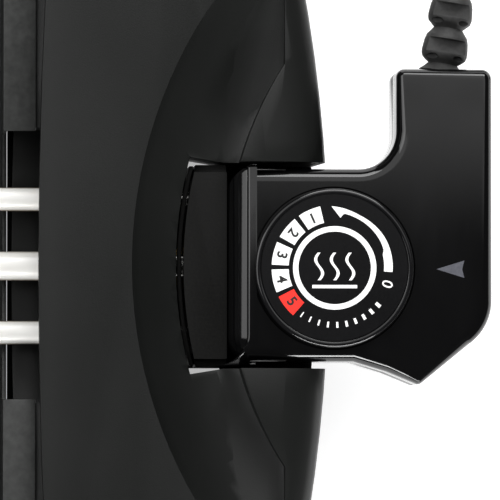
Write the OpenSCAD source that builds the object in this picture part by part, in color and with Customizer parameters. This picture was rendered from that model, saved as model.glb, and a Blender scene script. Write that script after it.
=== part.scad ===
// Electric table grill with a plug-in thermostat controller.
// X runs along the housing, +X towards the controller. Y is across it. Z is up from the table.
// The origin is on the table, under the middle of the grill with its controller plugged in.

/* [Housing] */
// Length of the moulded housing, end to end
base_length = 483; // [450:1:540]
// Width of the moulded housing, front to back
base_width = 290; // [270:1:340]
// Height of the deck above the table
deck_height = 68; // [66:1:80]
// Drop from the deck to the rim where the skirt begins
shoulder_drop = 11; // [8:1:14]
// Width of the rounded shoulder between the deck and the rim
shoulder_width = 30; // [22:1:36]
// Radius of the bowed ends in plan
end_bow_radius = 435; // [380:5:600]
// Corner radius in plan
corner_radius = 40; // [30:1:60]
// Wall thickness of the moulding
wall = 2.5; // [2:0.1:3.5]
// Gap between the skirt's lower edge and the table
skirt_clearance = 6; // [4:0.5:8]
// How far the skirt leans in on its way down
skirt_draft = 5; // [2:0.5:8]

/* [Opening] */
// Width of the deck at each end, from the opening to the end of the housing
end_deck = 80.5; // [74:0.5:90]
// Width of the rail at the front and at the back
side_rail = 27; // [24:0.5:34]
// Depth of the ledge below the deck that carries the tray
ledge_drop = 10; // [8:0.5:12]
// Width of the ledge
ledge_width = 7; // [6:0.5:9]
// Width of the gap in the ledge that the element's ends pass through
window_width = 76; // [66:1:84]

/* [Recess] */
// Radius of the recess's outer crease in plan
crease_radius = 128.5; // [124:0.5:134]
// Radius of the step that rises to the shoulder
step_radius = 102.5; // [98:0.5:106]
// Distance from the end of the housing to the recess's centre
recess_centre = 73.5; // [71:0.5:76]
// Depth of the recess below the deck
recess_depth = 12; // [8:0.5:14]
// Slope of the recess's floor towards its two tips
tip_slope = 0.15; // [0.1:0.01:0.3]

/* [Tray] */
// Height of the tray's floor above the table
tray_floor_height = 12; // [10:0.5:16]
// Sheet thickness of the tray
tray_sheet = 1.2; // [0.8:0.1:1.6]
// Gap between the tray's flange and the deck all round
tray_gap = 0.6; // [0.4:0.1:1]

/* [Heating element] */
// Outer diameter of the element's sheath
sheath_d = 6.5; // [6:0.1:8]
// Distance between the element's two ends
terminal_spacing = 37; // [34:0.5:40]
// Height of the element and the socket above the table
socket_height = 50; // [48:0.5:52]
// Outer diameter of the probe tube
probe_tube_d = 8; // [7.6:0.1:9]
// Diameter of the probe
probe_d = 6; // [5:0.1:6.4]
// Gap around the probe in its tube
probe_gap = 0.3; // [0.25:0.05:0.4]
// Diameter of the terminal pins
pin_d = 4; // [3.6:0.1:5]
// Running clearance of the pins in their sleeves, on the radius
pin_clearance = 0.08; // [0.05:0.01:0.1]

/* [Grid] */
// Distance between the grid's wires
grid_pitch = 12; // [10:0.5:16]
// Diameter of the grid's wires
grid_wire_d = 3; // [2.5:0.1:4]
// Diameter of the bars under the wires
grid_bar_d = 5; // [4:0.1:6]
// Height of the lifting handles above the wires
handle_rise = 16; // [12:1:24]

/* [Controller] */
// Thickness of the controller's case
case_thickness = 28; // [26:0.5:30]
// Width of the case between the collar and the arm
case_width = 53.2; // [50:0.2:55]
// How far the controller stands out past the housing
case_reach = 44.9; // [40:1:52]
// Width of the arm that the cord leaves
arm_width = 26.5; // [24:0.5:30]
// Distance from the case's middle line to the end of the arm
arm_length = 54.4; // [46:0.1:64]
// Wall thickness of the case
case_wall = 2.2; // [1.8:0.1:2.8]
// Width of the collar
collar_width = 55.4; // [54:0.2:57.4]
// Thickness of the collar
collar_thickness = 5.2; // [4:0.1:6]
// Gap between the collar and the sides of the plug opening
collar_gap = 0.8; // [0.4:0.1:1]
// Width of the nose
nose_width = 51.6; // [48:0.2:53]
// Height of the nose above the socket's middle
nose_rise = 8; // [7:0.5:10]

/* [Dial] */
// Outer diameter of the dial
dial_d = 43.8; // [38:0.2:46]
// Height of the dial above the case
dial_height = 3.2; // [2:0.1:5]
// Width of the dial's rim
dial_rim = 1.5; // [1:0.1:2.5]
// Diameter of the spindle
spindle_d = 6; // [5:0.1:8]
// Running clearance of the spindle, on the radius
spindle_clearance = 0.05; // [0.03:0.01:0.1]

/* [Cord] */
// Diameter of the mains cord
cord_d = 7; // [6:0.1:8]
// Length of the strain relief
relief_length = 43; // [36:1:50]
// Angle that the strain relief leans out
relief_lean = 9; // [0:1:12]
// Diameter of the plug's body
plug_d = 36; // [32:0.5:38]

/* [Hidden] */
$fn = 48;

// A hair of extra length so that cuts pass through a face
eps = 0.1;
half_length = base_length / 2;
half_width = base_width / 2;
rim_height = deck_height - shoulder_drop;
// The origin is midway between the far end of the housing and the controller's outer side
shift = -case_reach / 2;

// Opening
opening_x = half_length - end_deck;
opening_y = half_width - side_rail;
opening_bow = 1500;
ledge_top = deck_height - ledge_drop;
ledge_sheet = 2;
sill_top = socket_height - 8;

// Recess and plug opening
recess_x = half_length + recess_centre;
recess_floor = deck_height - recess_depth;
recess_dip = step_radius + 3.5;
recess_curve = 1.6;
skirt_x = half_length - 12.6;
tip_start = 40;
plug_opening = collar_width + 2 * collar_gap;
plug_floor = socket_height - case_thickness / 2 - 1.5;
nose_opening_radius = step_radius + 13.5;

// Posts under the corners, for the feet
post_x = half_length - 44.5;
post_y = half_width - 37;
post_r = 10;
foot_r = 9;
stem_r = 4;
stem_height = 8;

// Tray
tray_x = opening_x - ledge_width - 1.5;
tray_y = opening_y - ledge_width - 1.5;
tray_corner = 14;
flange_x = opening_x - tray_gap;
flange_y = opening_y - tray_gap;
flange_top = ledge_top + tray_sheet;
tray_notch_top = socket_height - probe_tube_d / 2 - 2;

// Terminals
leg_y = terminal_spacing / 2;
bracket_x = half_length - 57;
bracket_sheet = 1.5;
bracket_half = leg_y + 11;
bracket_top = deck_height - wall - 6;
bracket_bottom = socket_height - 10;
screw_y = leg_y + 6;
screw_x = bracket_x - 9;
boss_r = 4;
bush_r = sheath_d / 2 + 1.4;
pin_end = half_length - 29.5;
tube_end = opening_x - 43;

// Controller, from the nose's tip to the arm
case_end = half_length + case_reach;
nose_radius = nose_opening_radius - 2.2;
collar_x = half_length - 28.3;
case_x = collar_x + collar_thickness;
case_top = socket_height + case_thickness / 2;
case_bottom = socket_height - case_thickness / 2;
case_half = case_width / 2;
arm_x = case_end - arm_width;
arm_fillet = 10.5;
part_line = socket_height;
stroke = 70;
probe_end = recess_x - nose_radius - stroke + 5;

// Dial
dial_x = half_length + 0.9;
dial_y = -0.9;
dial_r = dial_d / 2;
recess_sink = 1;
dial_gap = 0.4;
dial_top = case_top + dial_height;
dial_base = case_top - recess_sink + dial_gap;
disc_sink = 0.7;
roof = case_wall + 0.2;
pocket_top = case_top - roof;

// Strain relief and cord
relief_x = case_end - 12.8;
relief_neck_r = cord_d / 2 + 0.75;
relief_ring_r = cord_d / 2 + 2.95;
relief_pitch = 10.1;
relief_ring = 7;
lead_r = cord_d / 2;
coil_x = 306;
coil_y = 178;
coil_base = 0.8;
coil_middle_r = 38.5;
coil_half = 1.5 * cord_d;
coil_height = 2 * cord_d + 0.2;
// The cord from the strain relief down to the coil, then from the coil to the plug
cord_route = [
    [257.9, 96.8, 50], [258.7, 102, 50], [259.4, 108, 49.5], [260, 113, 48.3], [260.4, 118, 46],
    [260.5, 123, 42.4], [260.5, 128, 37.6], [260.5, 133, 31.8], [260.5, 138, 25.8], [260.5, 143, 20.4],
    [260.5, 148, 16.4], [260.5, 153, 13.6], [260.5, 158, 12.1], [260.5, 163, 11.4]
];
lead_route = [
    [351.5, 164, 4.3], [351.5, 158, 4.4], [351.5, 152, 5], [351.5, 146, 7], [351.5, 140, 10],
    [351.5, 134, 13.4], [351.5, 128, 16.4], [351.5, 122, 18]
];
plug_x = 351.5;
plug_y = 122;
sleeve_length = 34;
plug_length = 24;
plug_r = plug_d / 2;
pin_r = 2.4;
pin_length = 19;
pin_spacing = 19;

// ---------------------------------------------------------------- helpers

// Moves a piece from the housing's own middle to the part's origin
module placed() {
    translate([shift, 0, 0]) children();
}

// Both ends of something, mirrored across X
module both_y() {
    children();
    mirror([0, 1, 0]) children();
}

function arc(centre, radius, start, stop, steps) = [
    for (i = [0:steps]) let (a = start + (stop - start) * i / steps)
    centre + radius * [cos(a), sin(a)]
];

// A rectangle with round corners, from true circles
module rounded_plate(x, y, r) {
    square([2 * x - 2 * r, 2 * y], center = true);
    square([2 * x, 2 * y - 2 * r], center = true);
    for (sx = [-1, 1], sy = [-1, 1]) translate([sx * (x - r), sy * (y - r)]) circle(r);
}

// A cylinder along X from x0 to x1
module rod_x(x0, x1, r) {
    translate([x0, 0, 0]) rotate([0, 90, 0]) cylinder(r = r, h = x1 - x0);
}

// A tube of round section swept along a list of points
function unit(v) = v / norm(v);
function heading(p, i) = unit(p[min(i + 1, len(p) - 1)] - p[max(i - 1, 0)]);
function side_of(d) = unit(cross(d, abs(d.z) > 0.9 ? [1, 0, 0] : [0, 0, 1]));
module swept(points, r, sides = 10) {
    n = len(points);
    rings = [
        for (i = [0:n - 1])
        let (d = heading(points, i), u = side_of(d), v = cross(u, d))
        for (k = [0:sides - 1]) points[i] + r * (cos(360 * k / sides) * u + sin(360 * k / sides) * v)
    ];
    quads = [
        for (i = [0:n - 2], k = [0:sides - 1])
        let (a = i * sides + k, b = i * sides + (k + 1) % sides)
        [a, b, b + sides, a + sides]
    ];
    polyhedron(
        rings,
        concat(quads, [[for (k = [sides - 1:-1:0]) k]], [[for (k = [0:sides - 1]) (n - 1) * sides + k]])
    );
}

// ---------------------------------------------------------------- housing

// Plan of the housing, drawn in by an inset: bowed ends, round corners and straight sides
corner_y = half_width - corner_radius;
bow_x = half_length - end_bow_radius;
corner_x = bow_x + sqrt(pow(end_bow_radius - corner_radius, 2) - pow(corner_y, 2));
corner_start = asin(corner_y / (end_bow_radius - corner_radius));
module base_outline(inset) {
    bow = arc([bow_x, 0], end_bow_radius - inset, 0, corner_start, 10);
    corner = arc([corner_x, corner_y], corner_radius - inset, corner_start, 90, 10);
    quarter = concat(bow, [for (i = [1:len(corner) - 1]) corner[i]]);
    n = len(quarter) - 1;
    polygon(concat(
        quarter, [for (i = [n:-1:1]) [-quarter[i].x, quarter[i].y]],
        [for (i = [0:n]) [-quarter[i].x, -quarter[i].y]], [for (i = [n:-1:1]) [quarter[i].x, -quarter[i].y]]
    ));
}

// One level of the rounded shoulder, at an angle of its quarter ellipse
module shoulder_slice(angle, skin) {
    translate([0, 0, rim_height + (shoulder_drop - skin) * sin(angle)])
        linear_extrude(0.01) base_outline(skin + (shoulder_width - skin) * (1 - cos(angle)));
}

// The housing's outer form, or its inside when skin is the wall
module housing_solid(skin) {
    steps = 7;
    hull() {
        for (i = [0:steps]) shoulder_slice(90 * i / steps, skin);
        translate([0, 0, skirt_clearance - (skin > 0 ? 1 : 0)])
            linear_extrude(0.01) base_outline(skirt_draft + skin);
    }
}

// The recess in one end: a shallow ring channel that fades out towards its tips
module recess_cut(skin) {
    steps = 9;
    reach = crease_radius - recess_dip;
    floor_line = [
        for (i = [0:steps]) let (t = i / steps)
        [recess_dip + reach * t - skin * 0.5, recess_floor + recess_depth * pow(t, recess_curve) - skin]
    ];
    difference() {
        translate([recess_x, 0, 0]) rotate([0, 0, 120]) rotate_extrude(angle = 120, $fn = 147)
            polygon(concat(
                [[step_radius - skin, deck_height + 4], [step_radius - skin, recess_floor + 0.6 - skin]],
                floor_line, [[crease_radius + skin * 0.6, deck_height + 4]]
            ));
        translate([skirt_x + skin, -half_width, 0]) cube([60, base_width, 2 * deck_height]);
        both_y() translate([half_length - 100, 0, 0]) rotate([90, 0, 90]) linear_extrude(100)
            polygon([
                [tip_start, 0], [tip_start, recess_floor - skin],
                [half_width, recess_floor - skin + tip_slope * (half_width - tip_start)], [half_width, 0]
            ]);
    }
}

module opening_outline(grow) {
    intersection() {
        rounded_plate(opening_x + 3 + grow, opening_y + grow, 6 + grow);
        for (s = [-1, 1]) difference() {
            square([base_length, base_width], center = true);
            for (t = [-1, 1]) translate([t * (opening_x + grow + opening_bow), 0]) circle(opening_bow, $fn = 360);
        }
    }
}

// Tapered bosses under the deck for the terminal bracket's screws
module screw_bosses() {
    both_y() translate([screw_x, screw_y, 0]) hull() {
        translate([0, 0, bracket_top + bracket_sheet]) cylinder(r = boss_r, h = 1, $fn = 24);
        translate([0, 0, deck_height - wall]) cylinder(r = boss_r + 0.6, h = 1, $fn = 24);
    }
}

// Tapered posts in the corners for the feet
module foot_posts() {
    for (sx = [-1, 1], sy = [-1, 1]) translate([sx * post_x, sy * post_y, 0]) hull() {
        translate([0, 0, skirt_clearance]) cylinder(r = post_r, h = 1, $fn = 24);
        translate([0, 0, deck_height - wall]) cylinder(r = post_r + 1, h = 1, $fn = 24);
    }
}

// Opening for the controller: the nose shows through the recess, the case passes the skirt
module plug_opening_cut() {
    half = plug_opening / 2;
    flare = 2.6;
    mouth_x = half_length - 29;
    translate([0, 0, plug_floor]) linear_extrude(deck_height) intersection() {
        translate([recess_x, 0]) rotate(1) circle(nose_opening_radius, $fn = 180);
        polygon([
            [mouth_x - 16, -half - flare], [mouth_x, -half], [half_length + 8, -half],
            [half_length + 8, half], [mouth_x, half], [mouth_x - 16, half + flare]
        ]);
    }
}

module base_shell() {
    color("#2b2d2c") placed() {
        difference() {
            union() {
                difference() {
                    housing_solid(0);
                    difference() {
                        housing_solid(wall);
                        recess_cut(wall);
                        mirror([1, 0, 0]) recess_cut(wall);
                    }
                    recess_cut(0);
                    mirror([1, 0, 0]) recess_cut(0);
                }
                translate([0, 0, ledge_top - ledge_sheet])
                    linear_extrude(deck_height - wall / 2 - ledge_top + ledge_sheet) opening_outline(wall);
                translate([0, 0, sill_top - ledge_sheet]) translate([opening_x - ledge_width, -window_width / 2 - wall, 0])
                    cube([ledge_width + wall + 1, window_width + 2 * wall, ledge_top - sill_top]);
                screw_bosses();
                foot_posts();
            }
            translate([0, 0, ledge_top]) linear_extrude(deck_height) opening_outline(0);
            linear_extrude(deck_height) opening_outline(-ledge_width);
            translate([opening_x - ledge_width - 5, -window_width / 2, sill_top])
                cube([ledge_width + 5 + wall + 2, window_width, bracket_top - sill_top]);
            plug_opening_cut();
            both_y() translate([screw_x, screw_y, 0]) cylinder(r = 1.3, h = deck_height - wall, $fn = 16);
            for (sx = [-1, 1], sy = [-1, 1]) translate([sx * post_x, sy * post_y, 0])
                cylinder(r = stem_r + 0.1, h = skirt_clearance + stem_height + 1, $fn = 24);
        }
    }
}

module feet() {
    color("#1c1c1c") placed() for (sx = [-1, 1], sy = [-1, 1]) translate([sx * post_x, sy * post_y, 0]) {
        cylinder(r1 = foot_r - 1, r2 = foot_r, h = 1);
        translate([0, 0, 1]) cylinder(r = foot_r, h = skirt_clearance - 1);
        translate([0, 0, skirt_clearance]) cylinder(r = stem_r, h = stem_height);
    }
}

// ---------------------------------------------------------------- tray and element

module drip_tray() {
    color("#4a4d4e") placed() difference() {
        union() {
            translate([0, 0, ledge_top]) linear_extrude(tray_sheet) intersection() {
                rounded_plate(flange_x, flange_y, 4);
                square([base_length, base_width], center = true);
            }
            translate([0, 0, tray_floor_height]) linear_extrude(ledge_top - tray_floor_height + tray_sheet / 2)
                rounded_plate(tray_x, tray_y, tray_corner);
        }
        translate([0, 0, tray_floor_height + tray_sheet]) linear_extrude(deck_height)
            rounded_plate(tray_x - tray_sheet, tray_y - tray_sheet, tray_corner - tray_sheet);
        translate([tray_x - 3, -window_width / 2 + 1, tray_notch_top]) cube([20, window_width - 2, deck_height]);
    }
}

// The element's centre line from one end to the middle of its far loop
bend_r = 24;
outer_y = 81;
outer_turn = 17.5;
inner_turn = 16;
inner_y = outer_y - 2 * outer_turn - 2 * inner_turn;
far_x = -opening_x + 43;
near_x = opening_x - 81;
leg_bend_x = opening_x - 13;
lean = 70;
diag_length = (outer_y - leg_y - 2 * bend_r * (1 - cos(lean))) / sin(lean);
first_bend = arc([leg_bend_x, leg_y + bend_r], bend_r, -90, -90 - lean, 6);
diag_end = first_bend[6] + diag_length * [-cos(lean), sin(lean)];
half_path = concat(
    [[bracket_x + 1.5, leg_y]], first_bend,
    arc([diag_end.x - bend_r * sin(lean), outer_y - bend_r], bend_r, 90 - lean, 90, 6),
    arc([far_x, outer_y - outer_turn], outer_turn, 90, 270, 9),
    arc([near_x, inner_y + inner_turn], inner_turn, 90, -90, 9),
    arc([far_x, 0], inner_y, 90, 162, 4)
);
full_path = [
    for (p = half_path) [p.x, p.y, socket_height],
    [far_x - inner_y, 0, socket_height],
    for (i = [len(half_path) - 1:-1:0]) [half_path[i].x, -half_path[i].y, socket_height]
];

module heating_element() {
    color("#b9b6ad") placed() swept(full_path, sheath_d / 2, 10);
}

// A folded bracket on the tray's floor that carries the far loop
module element_rest() {
    rest_x = far_x - inner_y;
    rest_top = socket_height - sheath_d / 2;
    floor_z = tray_floor_height + tray_sheet;
    color("#8f9192") placed() difference() {
        union() {
            translate([rest_x - 0.75, -12, floor_z]) cube([1.5, 24, rest_top - floor_z]);
            translate([rest_x - 12, -12, floor_z]) cube([12, 24, 1.5]);
        }
        translate([rest_x - 7, 0, floor_z - 1]) cylinder(r = 2, h = 4);
    }
}

module terminal_bracket() {
    color("#9a9c9d") placed() difference() {
        union() {
            translate([bracket_x, -bracket_half, bracket_bottom])
                cube([bracket_sheet, 2 * bracket_half, bracket_top + bracket_sheet - bracket_bottom]);
            both_y() translate([screw_x - 5, screw_y - 5, bracket_top])
                cube([bracket_x - screw_x + 5 + bracket_sheet, 10, bracket_sheet]);
        }
        both_y() translate([0, leg_y, socket_height]) rod_x(bracket_x - 5, bracket_x + 5, sheath_d / 2 + 0.1);
        translate([0, 0, socket_height]) rod_x(bracket_x - 5, bracket_x + 5, probe_tube_d / 2 + 0.05);
        both_y() translate([screw_x, screw_y, bracket_top - 1]) cylinder(r = 1.7, h = 5);
    }
}

module terminal_bushes() {
    color("#d9d4c6") placed() both_y() translate([0, leg_y, socket_height]) difference() {
        union() {
            rod_x(bracket_x + bracket_sheet, bracket_x + bracket_sheet + 3, bush_r);
            rod_x(bracket_x + bracket_sheet + 3, bracket_x + bracket_sheet + 6, bush_r - 1.2);
        }
        rod_x(bracket_x, bracket_x + 20, pin_d / 2);
    }
}

module terminal_pins() {
    color("#c9c9c4") placed() both_y() translate([0, leg_y, socket_height]) {
        rod_x(bracket_x + bracket_sheet, pin_end - 1, pin_d / 2);
        translate([pin_end - 1, 0, 0]) rotate([0, 90, 0]) cylinder(r1 = pin_d / 2, r2 = pin_d / 2 - 0.8, h = 1);
    }
}

module probe_tube() {
    color("#c9c6bd") placed() translate([0, 0, socket_height]) difference() {
        rod_x(tube_end, bracket_x + bracket_sheet + 4, probe_tube_d / 2);
        rod_x(tube_end + 1, bracket_x + 20, probe_d / 2 + probe_gap);
    }
}

module earth_blade() {
    color("#b58b3a") placed() translate([bracket_x + bracket_sheet, -5, bracket_bottom + 1])
        difference() {
            union() {
                cube([1, 10, 3.5]);
                cube([16, 10, 0.8]);
            }
            translate([11, 5, -1]) cylinder(r = 1.4, h = 3);
        }
}

module bracket_screws() {
    color("#b0b2b3") placed() both_y() translate([screw_x, screw_y, bracket_top]) difference() {
        union() {
            translate([0, 0, -2]) cylinder(r = 2.6, h = 2);
            cylinder(r = 1.2, h = 6);
        }
        translate([0, 0, -2.5]) linear_extrude(1.5) {
            square([3.2, 0.7], center = true);
            square([0.7, 3.2], center = true);
        }
    }
}

// A dark floor under the terminals and the plug opening, hung from the bracket by two lugs
module socket_floor() {
    sheet = 1.5;
    narrow = plug_opening / 2 - 0.4;
    wide = plug_opening / 2 + 2;
    wide_from = half_length - 29;
    start = tray_x + 0.4;
    stop = half_length - 5.6;
    guard_r = nose_radius + 0.5;
    guard_sheet = 1.2;
    guard_top = recess_floor - 0.8;
    guard_bottom = socket_height + probe_tube_d / 2 - 0.4;
    guard_half = nose_width / 2 + 1.8;
    color("#1d1d1d") placed() {
        translate([0, 0, plug_floor - sheet]) {
            translate([start, -narrow, 0]) cube([stop - start, 2 * narrow, sheet]);
            translate([wide_from, -wide, 0]) cube([stop - wide_from, 2 * wide, sheet]);
            translate([start, -window_width / 2 - 3, 0]) cube([ledge_width, window_width + 6, sheet]);
            both_y() translate([bracket_x + bracket_sheet, 7, 0])
                cube([1.5, 5, bracket_bottom + 4 - plug_floor + sheet]);
        }
        // A low guard in the gap behind the nose, on a post at each end
        intersection() {
            translate([recess_x, 0, plug_floor - sheet / 2]) difference() {
                cylinder(r = guard_r + guard_sheet, h = guard_top - plug_floor + sheet / 2, $fn = 180);
                translate([0, 0, -1]) cylinder(r = guard_r, h = deck_height, $fn = 180);
            }
            union() {
                translate([half_length - 60, -guard_half, guard_bottom])
                    cube([40, 2 * guard_half, deck_height]);
                both_y() translate([half_length - 60, guard_half - 3, 0]) cube([40, 3, deck_height]);
            }
        }
    }
}

// ---------------------------------------------------------------- grid

bar_z = flange_top + grid_bar_d / 2;
wire_z = bar_z + grid_bar_d / 2 + grid_wire_d / 2 - 0.6;
bar_y = flange_y - 3.6;
wire_count = 2 * floor((opening_x - 14) / grid_pitch) + 1;
wire_span = (wire_count - 1) / 2 * grid_pitch;

module grill_grid() {
    color("#d6d8da") placed() {
        for (y = [-bar_y, -bar_y / 3, bar_y / 3, bar_y]) translate([0, y, bar_z])
            rod_x(-wire_span - 1, wire_span + 1, grid_bar_d / 2, $fn = 24);
        for (i = [0:wire_count - 1]) translate([i * grid_pitch - wire_span, 0, wire_z])
            rotate([90, 0, 0]) cylinder(r = grid_wire_d / 2, h = 2 * opening_y - 5, center = true, $fn = 20);
    }
}

// Two wire bails that stand on the third wire from each end
module grid_handles() {
    wire = 2;
    x = wire_span - 2 * grid_pitch;
    half = 32;
    top = wire_z + grid_wire_d / 2 + handle_rise;
    bend = 8;
    color("#d6d8da") placed() for (s = [-1, 1]) translate([s * x, 0, 0]) {
        translate([0, 0, top]) rotate([90, 0, 0]) cylinder(r = wire, h = 2 * (half - bend), center = true, $fn = 24);
        both_y() {
            translate([0, half - bend, top - bend]) rotate([90, 0, 90])
                rotate_extrude(angle = 90, $fn = 48) translate([bend, 0]) circle(wire, $fn = 24);
            translate([0, half, wire_z + grid_wire_d / 2 - 0.4])
                cylinder(r = wire, h = top - bend - wire_z - grid_wire_d / 2 + 0.4, $fn = 24);
        }
    }
}

// ---------------------------------------------------------------- controller

// Plan of the case: square to the collar, one arm for the cord, and a beak at the near side
module case_plan() {
    outer_r = 14.8;
    side_y = -9.6;
    beak = [case_end - 20.6, -case_half - 4.8];
    beak_r = 1.5;
    polygon(concat(
        [[case_x, -case_half], [case_x, case_half]],
        arc([arm_x - arm_fillet, case_half + arm_fillet], arm_fillet, -90, 0, 8),
        arc([arm_x + 2.2, arm_length - 2.2], 2.2, 180, 90, 5),
        arc([case_end - 2.8, arm_length - 2.8], 2.8, 90, 0, 5),
        arc([case_end - outer_r, side_y], outer_r, 0, -56, 8),
        arc(beak, beak_r, -56, -105, 3),
        [[case_end - 38.5, -case_half]]
    ));
}

// The hollow inside the case, in two overlapping rooms
module case_room() {
    translate([case_x + case_wall, -case_half + case_wall]) square([arm_x - case_x + 14, case_width - 2 * case_wall]);
    translate([arm_x + case_wall, -case_half + case_wall + 6])
        square([arm_width - 2 * case_wall, arm_length + case_half - 2 * case_wall - 6]);
}

shell_screw_places = [
    [case_x + 6, case_half - 6], [case_x + 6, -case_half + 6], [case_end - 6.5, -8], [arm_x + 4.6, arm_length - 13]
];

module screw_posts(height) {
    for (p = shell_screw_places) translate(p) cylinder(r = 3.2, h = height, $fn = 24);
}

// Way through the collar and the case wall for the probe, the sleeves and the earth clip
module terminal_window(length) {
    translate([collar_x - 1, 0, socket_height]) rotate([90, 0, 90]) linear_extrude(length)
        rounded_plate(leg_y + pin_d + 2, 8.5, 2);
}

module relief_hole() {
    translate([relief_x, arm_length, socket_height]) rotate([-90, 0, -relief_lean])
        translate([0, 0, -8]) cylinder(r = relief_neck_r + 0.05, h = 14);
}

module top_shell() {
    height = case_top - part_line;
    color("#101012") placed() difference() {
        translate([0, 0, part_line]) linear_extrude(height) case_plan();
        difference() {
            translate([0, 0, part_line - eps]) linear_extrude(pocket_top - part_line + eps) case_room();
            translate([0, 0, part_line]) screw_posts(height);
        }
        translate([0, 0, part_line - eps]) for (p = shell_screw_places) translate(p) cylinder(r = 1.2, h = 9);
        translate([dial_x, dial_y, case_top - recess_sink]) cylinder(r = dial_r + 0.4, h = 5, $fn = 96);
        translate([dial_x, dial_y, part_line]) cylinder(r = spindle_d / 2 + spindle_clearance, h = 20);
        terminal_window(collar_thickness + case_wall + 2);
        relief_hole();
    }
}

module bottom_shell() {
    height = part_line - case_bottom;
    color("#101012") placed() difference() {
        translate([0, 0, case_bottom]) linear_extrude(height) case_plan();
        difference() {
            translate([0, 0, case_bottom + case_wall]) linear_extrude(height) case_room();
            translate([0, 0, case_bottom]) screw_posts(height);
        }
        for (p = shell_screw_places) translate([p.x, p.y, case_bottom - eps]) {
            cylinder(r = 1.6, h = height + 1);
            cylinder(r = 2.7, h = 3);
        }
        terminal_window(collar_thickness + case_wall + 2);
        relief_hole();
    }
}

module collar() {
    r = 6.5;
    height = case_thickness + 0.8;
    color("#0c0c0e") placed() difference() {
        translate([collar_x, 0, socket_height]) rotate([90, 0, 90]) linear_extrude(collar_thickness)
            rounded_plate(collar_width / 2, height / 2, r);
        terminal_window(collar_thickness + 2);
    }
}

// Nose: a heat-proof block whose tip follows the recess's ring, on a wider shelf
module nose_block() {
    shelf = collar_width / 2 + 0.3;
    shelf_top = socket_height + nose_rise - 4;
    shelf_bottom = socket_height - nose_rise - 2;
    bore = pin_d / 2 + 1.35;
    color("#232323") placed() difference() {
        intersection() {
            translate([recess_x, 0, shelf_bottom]) cylinder(r = nose_radius, h = 2 * case_thickness, $fn = 180);
            union() {
                translate([collar_x - 20, -nose_width / 2, shelf_bottom])
                    cube([20, nose_width, socket_height + nose_rise - shelf_bottom]);
                translate([collar_x - 20, -shelf, shelf_bottom]) cube([20, 2 * shelf, shelf_top - shelf_bottom]);
            }
        }
        both_y() translate([0, leg_y, socket_height]) rod_x(half_length - 60, half_length, bore);
        translate([0, 0, socket_height]) rod_x(half_length - 60, half_length, probe_tube_d / 2 + 0.4);
        translate([collar_x - 25, -7, bracket_bottom - 2]) cube([26, 14, 6]);
    }
}

module probe() {
    color("#c4c4c0") placed() translate([0, 0, socket_height]) {
        rod_x(probe_end, case_x + 7, probe_d / 2);
        translate([case_x + 3, 0, 0]) rod_x(0, 2, probe_d / 2 + 2);
    }
}

module contact_sleeves() {
    color("#c8a04a") placed() both_y() translate([0, leg_y, socket_height]) difference() {
        rod_x(recess_x - nose_radius + 4.5, case_x + 3, pin_d / 2 + 1.3);
        rod_x(half_length - 60, case_x - 2, pin_d / 2 + pin_clearance);
    }
}

module earth_clip() {
    z = bracket_bottom + 2.2;
    color("#c8a04a") placed() translate([collar_x - 8, -4, z]) {
        cube([8 + case_x - collar_x + 4 - eps, 8, 0.8]);
        cube([1.5, 8, 1.6]);
    }
}

module mechanism_plate() {
    z = case_bottom + case_wall;
    color("#a7a9aa") placed() difference() {
        union() {
            translate([case_x + 4, -13, z + 4]) cube([26, 26, 1.2]);
            for (x = [case_x + 7, case_x + 27], y = [-10, 10]) translate([x, y, z]) cylinder(r = 1.8, h = 4, $fn = 24);
        }
        translate([case_x + 17, 0, z]) cylinder(r = 3, h = 8);
    }
}

module bimetal_strip() {
    z = case_bottom + case_wall + 5.2;
    color("#c3b08a") placed() translate([case_x + 7, -9, z]) {
        cube([5, 6, 3]);
        translate([0, 0, 3]) cube([20, 6, 0.8]);
    }
}

module contact_spring() {
    z = case_bottom + case_wall + 5.2;
    color("#c98a4b") placed() translate([case_x + 7, 3, z]) {
        cube([5, 6, 2]);
        translate([0, 0, 2]) cube([20, 6, 0.5]);
        translate([17, -5.5, 2]) cube([3, 6, 0.5]);
    }
}

module contact_rivets() {
    z = case_bottom + case_wall + 7.7;
    color("#dcdcdc") placed() translate([case_x + 25.5, -0.9, z]) {
        cylinder(r = 1.3, h = 0.9, $fn = 24);
    }
}

module cam_follower() {
    z = case_bottom + case_wall + 9;
    color("#e2ddd0") placed() translate([case_x + 18, dial_y, z]) {
        translate([3, -5, 0]) cylinder(r = 1.6, h = 2.4, $fn = 24);
    }
}

module cord_clamp() {
    z = case_bottom + case_wall;
    y = arm_length - 30;
    color("#3a3a3a") placed() difference() {
        translate([relief_x - 7.5, y, z]) cube([15, 7, socket_height - z + 6]);
        translate([relief_x - 1.4, y - 1, socket_height]) rotate([-90, 0, 0]) cylinder(r = 3.4, h = 9);
    }
}

// Short insulated wires from the cord to the contacts
module inner_leads() {
    color("#7a4a2a") placed() for (s = [-1, 1]) translate([relief_x - 1.4 + s * 1.6, 2, socket_height])
        rotate([-90, 0, 0]) cylinder(r = 1.1, h = arm_length - 9, $fn = 24);
}

module shell_screws() {
    length = 14 + case_thickness / 4;
    color("#b0b2b3") placed() for (p = shell_screw_places) translate([p.x, p.y, case_bottom + 0.4]) difference() {
        union() {
            cylinder(r = 2.5, h = 2.5);
            translate([0, 0, 2.5]) cylinder(r = 1.15, h = length - 2.5);
        }
        translate([0, 0, -0.5]) linear_extrude(1.7) {
            square([3.2, 0.7], center = true);
            square([0.7, 3.2], center = true);
        }
    }
}

// The fixed pointer: a flat triangle aimed at the dial
module pointer_mark() {
    tip_x = half_length + 29.3;
    base_x = half_length + 37;
    color("#6d6a72") placed() translate([0, 0, case_top]) linear_extrude(0.15)
        polygon([[tip_x, -1.1], [base_x, 1.3], [base_x - 0.6, -1.1], [base_x, -3.5]]);
}

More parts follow.
